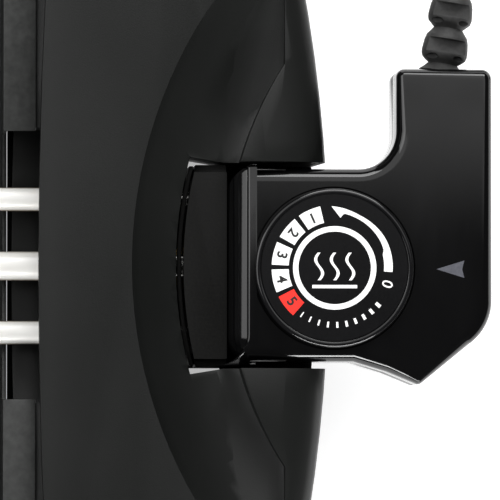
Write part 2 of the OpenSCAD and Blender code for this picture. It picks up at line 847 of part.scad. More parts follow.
module strain_relief() {
    color("#1d1d1e") placed() translate([relief_x, arm_length, socket_height]) rotate([-90, 0, -relief_lean]) {
        translate([0, 0, -6]) cylinder(r = relief_neck_r, h = relief_length + 6);
        translate([0, 0, -6]) cylinder(r = relief_neck_r + 1.6, h = 2);
        for (i = [0:3]) translate([0, 0, 2.1 + i * relief_pitch])
            cylinder(r1 = relief_ring_r - 0.25 * i, r2 = relief_ring_r - 0.25 * i - 0.3, h = relief_ring);
    }
}

// ---------------------------------------------------------------- dial

module dial_knob() {
    color("#141416") placed() translate([dial_x, dial_y, dial_base]) difference() {
        union() {
            cylinder(r = dial_r, h = dial_top - dial_base - 0.8, $fn = 96);
            translate([0, 0, dial_top - dial_base - 0.8]) cylinder(r1 = dial_r, r2 = dial_r - 0.6, h = 0.8, $fn = 96);
        }
        translate([0, 0, dial_top - dial_base - disc_sink]) cylinder(r = dial_r - dial_rim, h = 2, $fn = 96);
        translate([0, 0, -1]) cylinder(r = spindle_d / 2, h = 3);
    }
}

module dial_disc() {
    color("#1b1b22") placed() translate([dial_x, dial_y, dial_top - disc_sink])
        cylinder(r = dial_r - dial_rim - 0.1, h = 0.4, $fn = 96);
}

module dial_spindle() {
    cam_z = case_bottom + case_wall + 12;
    color("#e6e1d4") placed() translate([dial_x, dial_y, 0]) {
        translate([0, 0, cam_z]) cylinder(r = spindle_d / 2, h = dial_base + 2 - cam_z);
        translate([0, 0, cam_z]) cylinder(r = 5.5, h = 2);
        translate([2.5, 0, cam_z]) cylinder(r = 5, h = 2);
    }
}

module dial_clip() {
    color("#c9c9c9") placed() translate([dial_x, dial_y, pocket_top - 1.4]) difference() {
        cylinder(r = spindle_d / 2 + 2.5, h = 1);
        translate([0, 0, -1]) cylinder(r = spindle_d / 2, h = 3);
        translate([-1.5, 0, -1]) cube([3, 10, 3]);
    }
}

// ---------------------------------------------------------------- cord and plug

module mains_cord() {
    color("#191919") swept(cord_route, lead_r, 8);
}

module plug_lead() {
    color("#191919") swept(lead_route, lead_r, 8);
}

module cord_coil() {
    color("#191919") translate([coil_x, coil_y, coil_base]) rotate_extrude($fn = 72)
        translate([coil_middle_r - coil_half, 0]) square([2 * coil_half, coil_height]);
}

module cord_tie() {
    slack = 0.05;
    color("#0e0e0e") translate([coil_x, coil_y, 0]) difference() {
        translate([-4, coil_middle_r - coil_half - 1.3, 0]) cube([8, 2 * coil_half + 2.6, coil_base + coil_height + 1.1]);
        translate([0, 0, coil_base - slack]) difference() {
            cylinder(r = coil_middle_r + coil_half + slack, h = coil_height + 2 * slack, $fn = 72);
            translate([0, 0, -1]) cylinder(r = coil_middle_r - coil_half - slack, h = coil_height + 3, $fn = 72);
        }
    }
}

module plug_sleeve() {
    steps = 5;
    step = sleeve_length / steps;
    color("#171717") translate([plug_x, plug_y, plug_r]) rotate([90, 0, 0]) difference() {
        for (i = [0:steps - 1]) translate([0, 0, i * step])
            cylinder(r1 = lead_r + 1.2 + i * 0.9, r2 = lead_r + 1.2 + i * 0.9 + 0.7, h = step);
        translate([0, 0, -1]) cylinder(r = 1, h = 2);
    }
}

module plug_body() {
    flat = plug_r - 2.6;
    color("#171717") translate([plug_x, plug_y - sleeve_length, plug_r]) rotate([90, 0, 0]) difference() {
        union() {
            cylinder(r1 = plug_r - 6, r2 = plug_r, h = 6);
            translate([0, 0, 6]) cylinder(r = plug_r, h = plug_length - 6);
        }
        for (s = [-1, 1]) translate([s * (flat + 10), 0, plug_length / 2 + 5]) cube([20, 11, plug_length], center = true);
        for (s = [-1, 1]) translate([s * pin_spacing / 2, 0, plug_length - 6]) cylinder(r = pin_r, h = 10);
    }
}

module plug_pins() {
    color("#d2d2cf") translate([plug_x, plug_y - sleeve_length - plug_length, plug_r]) rotate([90, 0, 0])
        for (s = [-1, 1]) translate([s * pin_spacing / 2, 0, -6]) {
            cylinder(r = pin_r, h = pin_length + 6 - 1.2);
            translate([0, 0, pin_length + 6 - 1.2]) cylinder(r1 = pin_r, r2 = pin_r - 1, h = 1.2);
        }
}

base_shell();
feet();
drip_tray();
element_rest();
heating_element();
probe_tube();
terminal_bracket();
terminal_bushes();
terminal_pins();
earth_blade();
bracket_screws();
socket_floor();
grill_grid();
grid_handles();
top_shell();
bottom_shell();
collar();
nose_block();
probe();
contact_sleeves();
earth_clip();
mechanism_plate();
bimetal_strip();
contact_spring();
contact_rivets();
cam_follower();
cord_clamp();
inner_leads();
shell_screws();
pointer_mark();
strain_relief();
dial_knob();
dial_disc();
dial_spindle();
dial_clip();
mains_cord();
cord_coil();
cord_tie();
plug_lead();
plug_body();
plug_pins();
plug_sleeve();
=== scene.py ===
import math

import bmesh
import bpy
from mathutils import Matrix, Vector


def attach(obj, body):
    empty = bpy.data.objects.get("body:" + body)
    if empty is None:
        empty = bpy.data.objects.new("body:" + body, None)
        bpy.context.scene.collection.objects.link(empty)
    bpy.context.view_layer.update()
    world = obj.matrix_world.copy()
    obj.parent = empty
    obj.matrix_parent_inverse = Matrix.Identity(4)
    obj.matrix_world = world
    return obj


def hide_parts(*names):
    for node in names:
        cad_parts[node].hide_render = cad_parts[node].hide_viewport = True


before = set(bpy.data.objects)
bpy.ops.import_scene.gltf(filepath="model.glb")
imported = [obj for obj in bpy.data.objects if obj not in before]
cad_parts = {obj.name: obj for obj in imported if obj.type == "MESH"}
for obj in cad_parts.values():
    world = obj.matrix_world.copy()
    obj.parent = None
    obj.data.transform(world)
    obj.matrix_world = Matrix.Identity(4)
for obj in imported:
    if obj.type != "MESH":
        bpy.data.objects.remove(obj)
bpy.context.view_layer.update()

# The grill is drawn in millimetres, with x from the middle of the housing. SHIFT takes x to the frame's.
MM = 0.001
SHIFT = -22.45
SOCKET_HEIGHT = 50.0
DIAL_X = 242.4
DIAL_Y = -0.9
CASE_TOP = 64.0
CASE_BOTTOM = 36.0
CASE_WALL = 2.2
PART_LINE = SOCKET_HEIGHT


def place(x, y, z):
    return Vector(((x + SHIFT) * MM, y * MM, z * MM))


# ---------------------------------------------------------------- camera

VIEW_TARGET = Vector((0.19665, 0.0040, 0.066))
VIEW_LINE = Vector((-0.062, -0.036, 1.0))
VIEW_DISTANCE = 1.5
VIEW_WIDTH = 0.1372
SENSOR_WIDTH = 36.0

camera_data = bpy.data.cameras.new("camera")
camera_data.sensor_width = SENSOR_WIDTH
camera_data.lens = SENSOR_WIDTH * VIEW_DISTANCE / VIEW_WIDTH
camera_data.clip_end = 50.0
camera = bpy.data.objects.new("camera", camera_data)
bpy.context.scene.collection.objects.link(camera)
camera.location = VIEW_TARGET + VIEW_LINE * VIEW_DISTANCE
camera.rotation_mode = "QUATERNION"
back = VIEW_LINE.normalized()
right = Vector((0, 1, 0)).cross(back).normalized()
camera.rotation_quaternion = Matrix((right, back.cross(right), back)).transposed().to_quaternion()
bpy.context.scene.camera = camera


# ---------------------------------------------------------------- modelling helpers

def clear_selection():
    for item in bpy.context.selected_objects:
        item.select_set(False)


def only(piece):
    clear_selection()
    piece.select_set(True)
    bpy.context.view_layer.objects.active = piece


def settle(piece, name):
    """Names the piece and puts its place into its mesh."""
    piece.name = name
    piece.data.name = name
    only(piece)
    bpy.ops.object.transform_apply(location=True, rotation=True, scale=True)
    return piece


def apply_modifiers(piece):
    only(piece)
    for modifier in list(piece.modifiers):
        bpy.ops.object.modifier_apply(modifier=modifier.name)


def rounded_edges(piece, width, segments=3, angle=32.0):
    modifier = piece.modifiers.new("edge", "BEVEL")
    modifier.width = width * MM
    modifier.segments = segments
    modifier.limit_method = "ANGLE"
    modifier.angle_limit = math.radians(angle)
    modifier.use_clamp_overlap = True
    modifier.miter_outer = "MITER_ARC"
    apply_modifiers(piece)
    return piece


def smoothed(piece, angle=35.0):
    only(piece)
    bpy.ops.object.shade_smooth_by_angle(angle=math.radians(angle))
    return piece


def cut_with(piece, cutter):
    modifier = piece.modifiers.new("cut", "BOOLEAN")
    modifier.operation = "DIFFERENCE"
    modifier.solver = "EXACT"
    modifier.object = cutter
    apply_modifiers(piece)
    bpy.data.objects.remove(cutter)
    return piece


def outward(piece):
    only(piece)
    bpy.ops.object.mode_set(mode="EDIT")
    bpy.ops.mesh.select_all(action="SELECT")
    bpy.ops.mesh.remove_doubles(threshold=1e-6)
    bpy.ops.mesh.normals_make_consistent(inside=False)
    bpy.ops.object.mode_set(mode="OBJECT")
    return piece


def turned(name, section, centre, steps=96, start=0.0, sweep=360.0, axis="Z"):
    """A turned form: a closed section of (radius, height) pairs spun about an upright axis, or along Y."""
    clear_selection()
    bpy.ops.mesh.primitive_circle_add(vertices=len(section), radius=0.01, fill_type="NOTHING")
    piece = bpy.context.object
    lean = math.radians(start)
    for vertex, pair in zip(piece.data.vertices, section):
        vertex.co = (pair[0] * MM * math.cos(lean), pair[0] * MM * math.sin(lean), pair[1] * MM)
    bpy.ops.object.mode_set(mode="EDIT")
    bpy.ops.mesh.select_all(action="SELECT")
    bpy.ops.mesh.spin(steps=steps, angle=-math.radians(sweep), center=(0, 0, 0), axis=(0, 0, 1))
    bpy.ops.mesh.select_all(action="SELECT")
    bpy.ops.mesh.remove_doubles(threshold=1e-7)
    if sweep < 359.9:
        bpy.ops.mesh.select_all(action="DESELECT")
        bpy.ops.mesh.select_non_manifold()
        bpy.ops.mesh.fill_holes(sides=len(section))
        bpy.ops.mesh.select_all(action="SELECT")
    bpy.ops.mesh.normals_make_consistent(inside=False)
    bpy.ops.object.mode_set(mode="OBJECT")
    if axis == "Y":
        piece.data.transform(Matrix.Rotation(math.radians(90), 4, "X"))
    piece.data.transform(Matrix.Translation(centre))
    return settle(piece, name)


def risen(name, plan, levels):
    """A shell, open at its first level, that rises from a plan through levels of (height, inset).

    Each point of the plan carries its own outward direction and its share of the inset.
    """
    way = 1.0 if levels[-1][0] > levels[0][0] else -1.0
    clear_selection()
    bpy.ops.mesh.primitive_circle_add(vertices=len(plan), radius=0.01, fill_type="NGON")
    piece = bpy.context.object
    height, inset = levels[0]
    for vertex, point in zip(piece.data.vertices, plan):
        vertex.co = (point[0] * MM, point[1] * MM, 0.0)
    bpy.ops.object.mode_set(mode="EDIT")
    bm = bmesh.from_edit_mesh(piece.data)
    bm.verts.ensure_lookup_table()
    ring = list(bm.verts)
    shape_ring(ring, plan, height, inset)
    for height, inset in levels[1:]:
        where = {tuple(round(c, 7) for c in vertex.co): i for i, vertex in enumerate(ring)}
        bmesh.update_edit_mesh(piece.data)
        bpy.ops.mesh.select_all(action="DESELECT")
        bm = bmesh.from_edit_mesh(piece.data)
        bm.faces.ensure_lookup_table()
        top = max(
            bm.faces, key=lambda face: (len(face.verts) == len(plan), face.calc_center_median().z * way))
        top.select = True
        bm.select_flush_mode()
        bmesh.update_edit_mesh(piece.data)
        bpy.ops.mesh.extrude_region_move()
        bm = bmesh.from_edit_mesh(piece.data)
        ring = [None] * len(plan)
        for vertex in bm.verts:
            if vertex.select:
                ring[where[tuple(round(c, 7) for c in vertex.co)]] = vertex
        shape_ring(ring, plan, height, inset)
    bmesh.update_edit_mesh(piece.data)
    bpy.ops.mesh.select_all(action="DESELECT")
    bm = bmesh.from_edit_mesh(piece.data)
    caps = [face for face in bm.faces if len(face.verts) == len(plan)]
    if len(caps) == 2:
        first = min(caps, key=lambda face: abs(face.calc_center_median().z - levels[0][0] * MM))
        bmesh.ops.delete(bm, geom=[first], context="FACES_ONLY")
    bmesh.update_edit_mesh(piece.data)
    bpy.ops.object.mode_set(mode="OBJECT")
    piece.data.transform(Matrix.Translation((SHIFT * MM, 0, 0)))
    settle(piece, name)
    return outward(piece)


def shape_ring(ring, plan, height, inset):
    for vertex, point in zip(ring, plan):
        x, y, nx, ny, share = point
        draw = inset * share
        vertex.co = ((x - nx * draw) * MM, (y - ny * draw) * MM, height * MM)


def copied(node, name):
    """A working copy of a frame part's form, with its doubles merged."""
    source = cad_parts[node]
    mesh = source.data.copy()
    mesh.materials.clear()
    piece = bpy.data.objects.new(name, mesh)
    mesh.name = name
    bpy.context.scene.collection.objects.link(piece)
    only(piece)
    bpy.ops.object.mode_set(mode="EDIT")
    bpy.ops.mesh.select_all(action="SELECT")
    bpy.ops.mesh.remove_doubles(threshold=2e-6)
    bpy.ops.mesh.dissolve_limited(angle_limit=math.radians(0.4))
    bpy.ops.object.mode_set(mode="OBJECT")
    if piece.data.has_custom_normals:
        bpy.ops.mesh.customdata_custom_splitnormals_clear()
    return piece


def eased(node, name, width, segments=2, angle=40.0, smooth=40.0):
    """A frame part with its edges eased and its round faces made smooth."""
    piece = copied(node, name)
    if width > 0:
        rounded_edges(piece, width, segments, angle)
    return smoothed(piece, smooth)


def dress(piece, body, finish, slot, *nodes):
    piece.data.materials.clear()
    piece.data.materials.append(finish)
    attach(piece, body)
    if nodes:
        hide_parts(*nodes)
    return piece


# ---------------------------------------------------------------- finishes

# Nearly all of a noise pattern's values lie between these two.
NOISE_LOW = 0.3
NOISE_HIGH = 0.7


def new_finish(name):
    finish = bpy.data.materials.new(name)
    finish.use_nodes = True
    nodes = finish.node_tree.nodes
    links = finish.node_tree.links
    shader = nodes["Principled BSDF"]
    spot = nodes.new("ShaderNodeTexCoord")
    return finish, nodes, links, shader, spot.outputs["Object"]


def grain_of(nodes, links, spot, scale, detail=6.0, stretch=(1.0, 1.0, 1.0)):
    turn = nodes.new("ShaderNodeMapping")
    turn.inputs["Scale"].default_value = stretch
    links.new(spot, turn.inputs["Vector"])
    grain = nodes.new("ShaderNodeTexNoise")
    grain.inputs["Scale"].default_value = scale
    grain.inputs["Detail"].default_value = detail
    links.new(turn.outputs["Vector"], grain.inputs["Vector"])
    return grain.outputs["Fac"]


def ramp_of(nodes, links, factor, low, high, dark, light):
    ramp = nodes.new("ShaderNodeValToRGB")
    ramp.color_ramp.elements[0].position = low
    ramp.color_ramp.elements[1].position = high
    ramp.color_ramp.elements[0].color = (*dark, 1.0)
    ramp.color_ramp.elements[1].color = (*light, 1.0)
    links.new(factor, ramp.inputs["Fac"])
    return ramp.outputs["Color"]


def range_of(nodes, links, factor, low, high):
    band = nodes.new("ShaderNodeMapRange")
    band.inputs["From Min"].default_value = NOISE_LOW
    band.inputs["From Max"].default_value = NOISE_HIGH
    band.inputs["To Min"].default_value = low
    band.inputs["To Max"].default_value = high
    links.new(factor, band.inputs["Value"])
    return band.outputs["Result"]


def bumped(nodes, links, shader, factor, strength, depth):
    bump = nodes.new("ShaderNodeBump")
    bump.inputs["Strength"].default_value = strength
    bump.inputs["Distance"].default_value = depth
    links.new(factor, bump.inputs["Height"])
    links.new(bump.outputs["Normal"], shader.inputs["Normal"])


def plain_finish(name, dark, light, rough, spread, grain, depth, metal=0.0, coat=0.0, stretch=(1, 1, 1)):
    """A finish with fine grain in its colour, its gloss and its surface."""
    finish, nodes, links, shader, spot = new_finish(name)
    fine = grain_of(nodes, links, spot, grain, 5.0, stretch)
    broad = grain_of(nodes, links, spot, 28.0, 4.0)
    tone = ramp_of(nodes, links, fine, NOISE_LOW, NOISE_HIGH, dark, light)
    links.new(tone, shader.inputs["Base Color"])
    links.new(range_of(nodes, links, broad, rough - spread, rough + spread), shader.inputs["Roughness"])
    bumped(nodes, links, shader, fine, 0.35, depth)
    shader.inputs["Metallic"].default_value = metal
    shader.inputs["Coat Weight"].default_value = coat
    shader.inputs["Coat Roughness"].default_value = 0.05
    return finish


def dulled(finish, level):
    """The same finish with a weaker mirror reflection."""
    finish.node_tree.nodes["Principled BSDF"].inputs["Specular IOR Level"].default_value = level
    return finish


def moulded_black():
    """Matte black moulding: fine spark grain, rubbed patches and a few specks of dust."""
    finish, nodes, links, shader, spot = new_finish("moulded_black")
    fine = grain_of(nodes, links, spot, 2600.0, 3.0)
    broad = grain_of(nodes, links, spot, 14.0, 6.0)
    tone = ramp_of(nodes, links, broad, 0.3, 0.72, (0.0036, 0.0041, 0.0037), (0.0060, 0.0065, 0.0060))
    dust = nodes.new("ShaderNodeTexVoronoi")
    dust.inputs["Scale"].default_value = 62.0
    links.new(spot, dust.inputs["Vector"])
    speck = nodes.new("ShaderNodeMath")
    speck.operation = "LESS_THAN"
    speck.inputs[1].default_value = 0.017
    links.new(dust.outputs["Distance"], speck.inputs[0])
    mix = nodes.new("ShaderNodeMix")
    mix.data_type = "RGBA"
    mix.inputs["B"].default_value = (0.32, 0.33, 0.33, 1.0)
    links.new(speck.outputs["Value"], mix.inputs["Factor"])
    links.new(tone, mix.inputs["A"])
    links.new(mix.outputs["Result"], shader.inputs["Base Color"])
    links.new(range_of(nodes, links, broad, 0.38, 0.47), shader.inputs["Roughness"])
    bumped(nodes, links, shader, fine, 0.5, 0.00006)
    return finish


def gloss_black(name, rough, tone):
    """Polished black moulding with faint wipe marks."""
    finish, nodes, links, shader, spot = new_finish(name)
    wipe = grain_of(nodes, links, spot, 90.0, 8.0, (1.0, 0.22, 1.0))
    fine = grain_of(nodes, links, spot, 1400.0, 2.0)
    low = tuple(0.75 * c for c in tone)
    links.new(ramp_of(nodes, links, wipe, 0.35, 0.65, low, tone), shader.inputs["Base Color"])
    links.new(range_of(nodes, links, wipe, rough * 0.75, rough * 1.35), shader.inputs["Roughness"])
    bumped(nodes, links, shader, fine, 0.08, 0.00002)
    return finish


def heater_steel():
    """Bright sheath metal, with painted shade in a brown tone on its sides and underside, wherever its
    surface turns away from straight up.
    """
    finish, nodes, links, shader, spot = new_finish("heater_steel")
    draw = grain_of(nodes, links, spot, 160.0, 6.0, (0.25, 3.0, 3.0))
    blotch = grain_of(nodes, links, spot, 45.0, 5.0)
    tone = ramp_of(nodes, links, draw, 0.25, 0.75, (0.90, 0.88, 0.83), (0.98, 0.975, 0.95))
    # Painted shade: a brown tone is mixed in by the way the surface faces. There is none where it faces up;
    # it fades in as the surface turns sideways and is full on steep sides and underneath.
    part = nodes.new("ShaderNodeNewGeometry")
    split = nodes.new("ShaderNodeSeparateXYZ")
    links.new(part.outputs["Normal"], split.inputs["Vector"])
    edge = nodes.new("ShaderNodeMapRange")
    edge.inputs["From Min"].default_value = 0.52
    edge.inputs["From Max"].default_value = 0.12
    links.new(split.outputs["Z"], edge.inputs["Value"])
    mix = nodes.new("ShaderNodeMix")
    mix.data_type = "RGBA"
    mix.inputs["B"].default_value = (0.16, 0.125, 0.085, 1.0)
    links.new(edge.outputs["Result"], mix.inputs["Factor"])
    links.new(tone, mix.inputs["A"])
    links.new(mix.outputs["Result"], shader.inputs["Base Color"])
    links.new(range_of(nodes, links, blotch, 0.34, 0.5), shader.inputs["Roughness"])
    bumped(nodes, links, shader, draw, 0.25, 0.00005)
    shader.inputs["Metallic"].default_value = 0.1
    return finish


FINISHES = {
    "housing": dulled(moulded_black(), 0.3),
    "rubber": plain_finish(
        "foot_rubber", (0.012, 0.012, 0.012), (0.03, 0.03, 0.03), 0.8, 0.06, 900, 0.0001),
    "tray": plain_finish(
        "tray_steel", (0.020, 0.021, 0.020), (0.037, 0.038, 0.037), 0.42, 0.08, 500, 0.00005, 0.35),
    "sheet_steel": plain_finish(
        "sheet_steel", (0.36, 0.37, 0.37), (0.52, 0.53, 0.53), 0.34, 0.08, 320, 0.00004,
        0.9, 0.0, (1, 6, 6)),
    "heater_steel": heater_steel(),
    "ceramic": plain_finish(
        "fired_ceramic", (0.62, 0.58, 0.50), (0.76, 0.73, 0.66), 0.6, 0.08, 700, 0.00008),
    "pin_steel": plain_finish(
        "pin_steel", (0.52, 0.52, 0.50), (0.68, 0.68, 0.66), 0.2, 0.06, 260, 0.00002, 1.0, 0.0, (12, 1, 1)),
    "brass_contact": plain_finish(
        "brass_contact", (0.55, 0.36, 0.10), (0.72, 0.50, 0.19), 0.3, 0.08, 300, 0.00003, 1.0),
    "screw_steel": plain_finish(
        "screw_steel", (0.42, 0.43, 0.43), (0.60, 0.61, 0.62), 0.3, 0.07, 600, 0.00003, 1.0),
    "grid_chrome": plain_finish(
        "grid_chrome", (0.60, 0.61, 0.62), (0.74, 0.75, 0.76), 0.14, 0.05, 220, 0.00002, 1.0),
    "case_gloss": gloss_black("case_gloss", 0.1, (0.0018, 0.0018, 0.0020)),
    "nose_matte": dulled(
        plain_finish("nose_matte", (0.003, 0.003, 0.003), (0.006, 0.006, 0.0055), 0.5, 0.07, 1500, 0.00008),
        0.1),
    "bimetal": plain_finish(
        "bimetal", (0.45, 0.38, 0.24), (0.58, 0.50, 0.34), 0.35, 0.07, 400, 0.00003, 0.9),
    "spring_bronze": plain_finish(
        "spring_bronze", (0.50, 0.27, 0.10), (0.64, 0.38, 0.17), 0.3, 0.07, 400, 0.00003, 0.9),
    "natural_nylon": plain_finish(
        "natural_nylon", (0.66, 0.62, 0.53), (0.76, 0.73, 0.66), 0.45, 0.08, 500, 0.00005),
    "lead_insulation": plain_finish(
        "lead_insulation", (0.15, 0.07, 0.03), (0.22, 0.11, 0.05), 0.5, 0.06, 500, 0.00005),
    "pointer_grey": plain_finish(
        "pointer_grey", (0.062, 0.064, 0.078), (0.090, 0.092, 0.108), 0.45, 0.06, 1300, 0.00003),
    "relief_rubber": plain_finish(
        "relief_rubber", (0.018, 0.018, 0.018), (0.032, 0.032, 0.031), 0.62, 0.07, 1100, 0.0001),
    "dial_gloss": gloss_black("dial_gloss", 0.09, (0.005, 0.005, 0.0055)),
    "dial_print": dulled(
        plain_finish(
            "dial_face", (0.002, 0.002, 0.0024), (0.004, 0.004, 0.0044), 0.3, 0.05, 1700, 0.00002),
        0.2),
    "cord_rubber": plain_finish(
        "cord_rubber", (0.011, 0.011, 0.011), (0.022, 0.022, 0.022), 0.5, 0.08, 1000, 0.00008),
    "tie_plastic": plain_finish(
        "tie_plastic", (0.008, 0.008, 0.008), (0.016, 0.016, 0.016), 0.36, 0.06, 700, 0.00004),
    "plug_plastic": plain_finish(
        "plug_plastic", (0.010, 0.010, 0.010), (0.02, 0.02, 0.02), 0.42, 0.07, 1300, 0.00007),
    "print_white": plain_finish(
        "print_white", (0.93, 0.93, 0.92), (0.97, 0.97, 0.96), 0.45, 0.06, 2000, 0.00001),
    "print_red": plain_finish(
        "print_red", (0.88, 0.022, 0.014), (0.95, 0.030, 0.018), 0.42, 0.06, 2000, 0.00001),
    "print_black": plain_finish(
        "print_black", (0.006, 0.006, 0.006), (0.012, 0.012, 0.012), 0.5, 0.06, 2000, 0.00001),
}


# ---------------------------------------------------------------- cord

CORD_RADIUS = 3.5
COIL_X = 306
COIL_Y = 178
COIL_RADIUS = 45.5
COIL_DEGREES = 1980
COIL_STEP = 6
# The coil lies in two layers, each of three turns side by side.
TURN_PITCH = 7.0
LAYER_PITCH = 7.1
UPPER_LAYER = 11.4
PLUG_X = 351.5


def lead_points():
    """The whole cord: out of the strain relief, down to the table, round the coil and to the plug."""
    down = [
        (257.9, 96.8, 50), (258.7, 102, 50), (259.4, 108, 49.5), (260, 113, 48.3), (260.4, 118, 46),
        (260.5, 123, 42.4), (260.5, 128, 37.6), (260.5, 133, 31.8), (260.5, 138, 25.8), (260.5, 143, 20.4),
        (260.5, 148, 16.4), (260.5, 153, 13.6), (260.5, 158, 12.1), (260.5, 163, 11.4), (260.5, 170, 11.4),
    ]
    wound = [coil_point(angle) for angle in range(0, COIL_DEGREES + 1, COIL_STEP)]
    out = [
        (PLUG_X, 170, 4.3), (PLUG_X, 164, 4.3), (PLUG_X, 158, 4.4), (PLUG_X, 152, 5), (PLUG_X, 146, 7),
        (PLUG_X, 140, 10), (PLUG_X, 134, 13.4), (PLUG_X, 128, 16.4), (PLUG_X, 122, 18), (PLUG_X, 118, 18),
    ]
    return [Vector(p) * MM for p in down + wound + out]


def eased_step(value, low, high):
    share = min(1.0, max(0.0, (value - low) / (high - low)))
    return share * share * (3.0 - 2.0 * share)


def coil_point(angle):
    """A point of the coil, which winds inwards in its upper layer and outwards in its lower one."""
    inner = eased_step(angle, 265, 315) + eased_step(angle, 625, 675)
    outer = eased_step(angle, 1260, 1310) + eased_step(angle, 1620, 1670)
    radius = COIL_RADIUS - TURN_PITCH * inner + TURN_PITCH * outer
    height = UPPER_LAYER - LAYER_PITCH * eased_step(angle, 935, 985)
    turn = math.radians(180 - angle)
    return (COIL_X + radius * math.cos(turn), COIL_Y + radius * math.sin(turn), height)


def round_curve(name, points, radius, resolution):
    """A curve along the points, with a round section of the radius in millimetres."""
    curve = bpy.data.curves.new(name, "CURVE")
    curve.dimensions = "3D"
    curve.bevel_depth = radius * MM
    curve.bevel_resolution = resolution
    curve.use_fill_caps = True
    path = curve.splines.new("POLY")
    path.points.add(len(points) - 1)
    for knot, where in zip(path.points, points):
        knot.co = (*where, 1.0)
    piece = bpy.data.objects.new(name, curve)
    bpy.context.scene.collection.objects.link(piece)
    return piece


cord_line = lead_points()
mains_lead = round_curve("mains_lead", cord_line, CORD_RADIUS, 4)
mains_lead.data.splines[0].use_smooth = True
dress(
    mains_lead, "controller", FINISHES["cord_rubber"], "cord_rubber",
    "mains_cord", "cord_coil", "plug_lead")

plug_sleeve = turned(
    "plug_grommet",
    [(3.5, 0.2), (4.6, 0.0), (5.0, 1.2), (5.2, 5.4), (4.6, 6.2), (4.7, 7.0), (6.1, 7.6), (6.4, 8.4),
     (6.5, 12.4), (5.6, 13.2), (5.7, 14.0), (7.0, 14.6), (7.3, 15.4), (7.4, 19.2), (6.4, 20.0), (6.5, 20.8),
     (7.9, 21.4), (8.2, 22.2), (8.3, 26.0), (7.4, 26.8), (7.5, 27.6), (8.8, 28.2), (9.0, 33.9),
     (3.5, 33.9)],
    (PLUG_X * MM, 122 * MM, 18 * MM), 64, axis="Y")
smoothed(plug_sleeve, 40)
dress(plug_sleeve, "controller", FINISHES["plug_plastic"], "plug_plastic", "plug_sleeve")
plug_shell = eased("plug_body", "plug_shell", 1.1, 3, 35, 40)
dress(plug_shell, "controller", FINISHES["plug_plastic"], "plug_plastic", "plug_body")
plug_blades = eased("plug_pins", "plug_blades", 0.25, 2, 35, 40)
dress(plug_blades, "controller", FINISHES["pin_steel"], "pin_steel", "plug_pins")
coil_tie = eased("cord_tie", "coil_tie", 0.35, 2, 35, 40)
dress(coil_tie, "controller", FINISHES["tie_plastic"], "tie_plastic", "cord_tie")


# ---------------------------------------------------------------- housing and what it holds

housing = eased("base_shell", "moulded_housing", 0.5, 2, 28, 30)
dress(housing, "base", FINISHES["housing"], "housing", "base_shell")

EASED = [
    ("feet", "rubber_feet", 0.6, "base", "rubber"),
    ("drip_tray", "pressed_tray", 0.4, "base", "tray"),
    ("element_rest", "loop_rest", 0.3, "base", "sheet_steel"),
    ("terminal_bracket", "folded_bracket", 0.3, "base", "sheet_steel"),
    ("terminal_bushes", "end_bushes", 0.35, "base", "ceramic"),
    ("terminal_pins", "end_pins", 0.2, "base", "pin_steel"),
    ("earth_blade", "earth_tongue", 0.15, "base", "brass_contact"),
    ("bracket_screws", "bracket_fixings", 0.15, "base", "screw_steel"),
    ("probe_tube", "sensor_tube", 0.25, "base", "heater_steel"),
    ("socket_floor", "terminal_floor", 0.3, "base", "nose_matte"),
    ("grill_grid", "wire_grid", 0.0, "grid", "grid_chrome"),
    ("grid_handles", "wire_bails", 0.0, "grid", "grid_chrome"),
    ("nose_block", "plug_nose", 0.45, "controller", "nose_matte"),
    ("probe", "sensor_rod", 0.3, "controller", "pin_steel"),
    ("contact_sleeves", "socket_sleeves", 0.15, "controller", "brass_contact"),
    ("dial_spindle", "cam_spindle", 0.2, "dial", "natural_nylon"),
]
for node, name, width, body, finish in EASED:
    dress(eased(node, name, width), body, FINISHES[finish], finish, node)


def element_line():
    """The middle line of the heater, end to end, at the height of the socket."""
    leg_y = 18.5
    side_y = 81.0
    near_x = 80.0
    far_x = -118.0
    bend = 24.0
    lean = 70.0
    outer, inner, middle = 17.5, 16.0, 14.0
    half = [(186.0, leg_y), (180.0, leg_y), (170.0, leg_y)]
    first = [arc_point(148.0, leg_y + bend, bend, -90 - lean * i / 10) for i in range(11)]
    run = (side_y - leg_y - 2 * bend * (1 - math.cos(math.radians(lean)))) / math.sin(math.radians(lean))
    end_x = first[-1][0] - run * math.cos(math.radians(lean))
    turn_x = end_x - bend * math.sin(math.radians(lean))
    half += first
    half += [arc_point(turn_x, side_y - bend, bend, 90 - lean + lean * i / 10) for i in range(11)]
    half += [arc_point(far_x, side_y - outer, outer, 90 + 10 * i) for i in range(19)]
    half += [arc_point(near_x, side_y - 2 * outer - inner, inner, 90 - 10 * i) for i in range(19)]
    half += [arc_point(far_x, 0.0, middle, 90 + 9 * i) for i in range(11)]
    mirrored = [(x, -y) for x, y in reversed(half[:-1])]
    return [place(x, y, SOCKET_HEIGHT) for x, y in half + mirrored]


def arc_point(x, y, radius, angle):
    return (x + radius * math.cos(math.radians(angle)), y + radius * math.sin(math.radians(angle)))


def tube_along(name, points, radius):
    piece = round_curve(name, points, radius, 5)
    only(piece)
    bpy.ops.object.convert(target="MESH")
    piece = bpy.context.object
    piece.data.name = name
    return smoothed(piece, 50)


# Places along a side wall of the plug opening: x, the inner face's y, and the wall's top
CHEEK_ROWS = (
    (196.6, 31.2, 55.2), (212.5, 28.6, 55.2), (229.3, 28.6, 55.2), (229.6, 28.6, 63.8), (236.0, 28.6, 61.2),
    (238.0, 28.6, 58.8))
CHEEK_FOOT = 33.0
CHEEK_SHEET = 1.2
CHEEK_RISE = 10


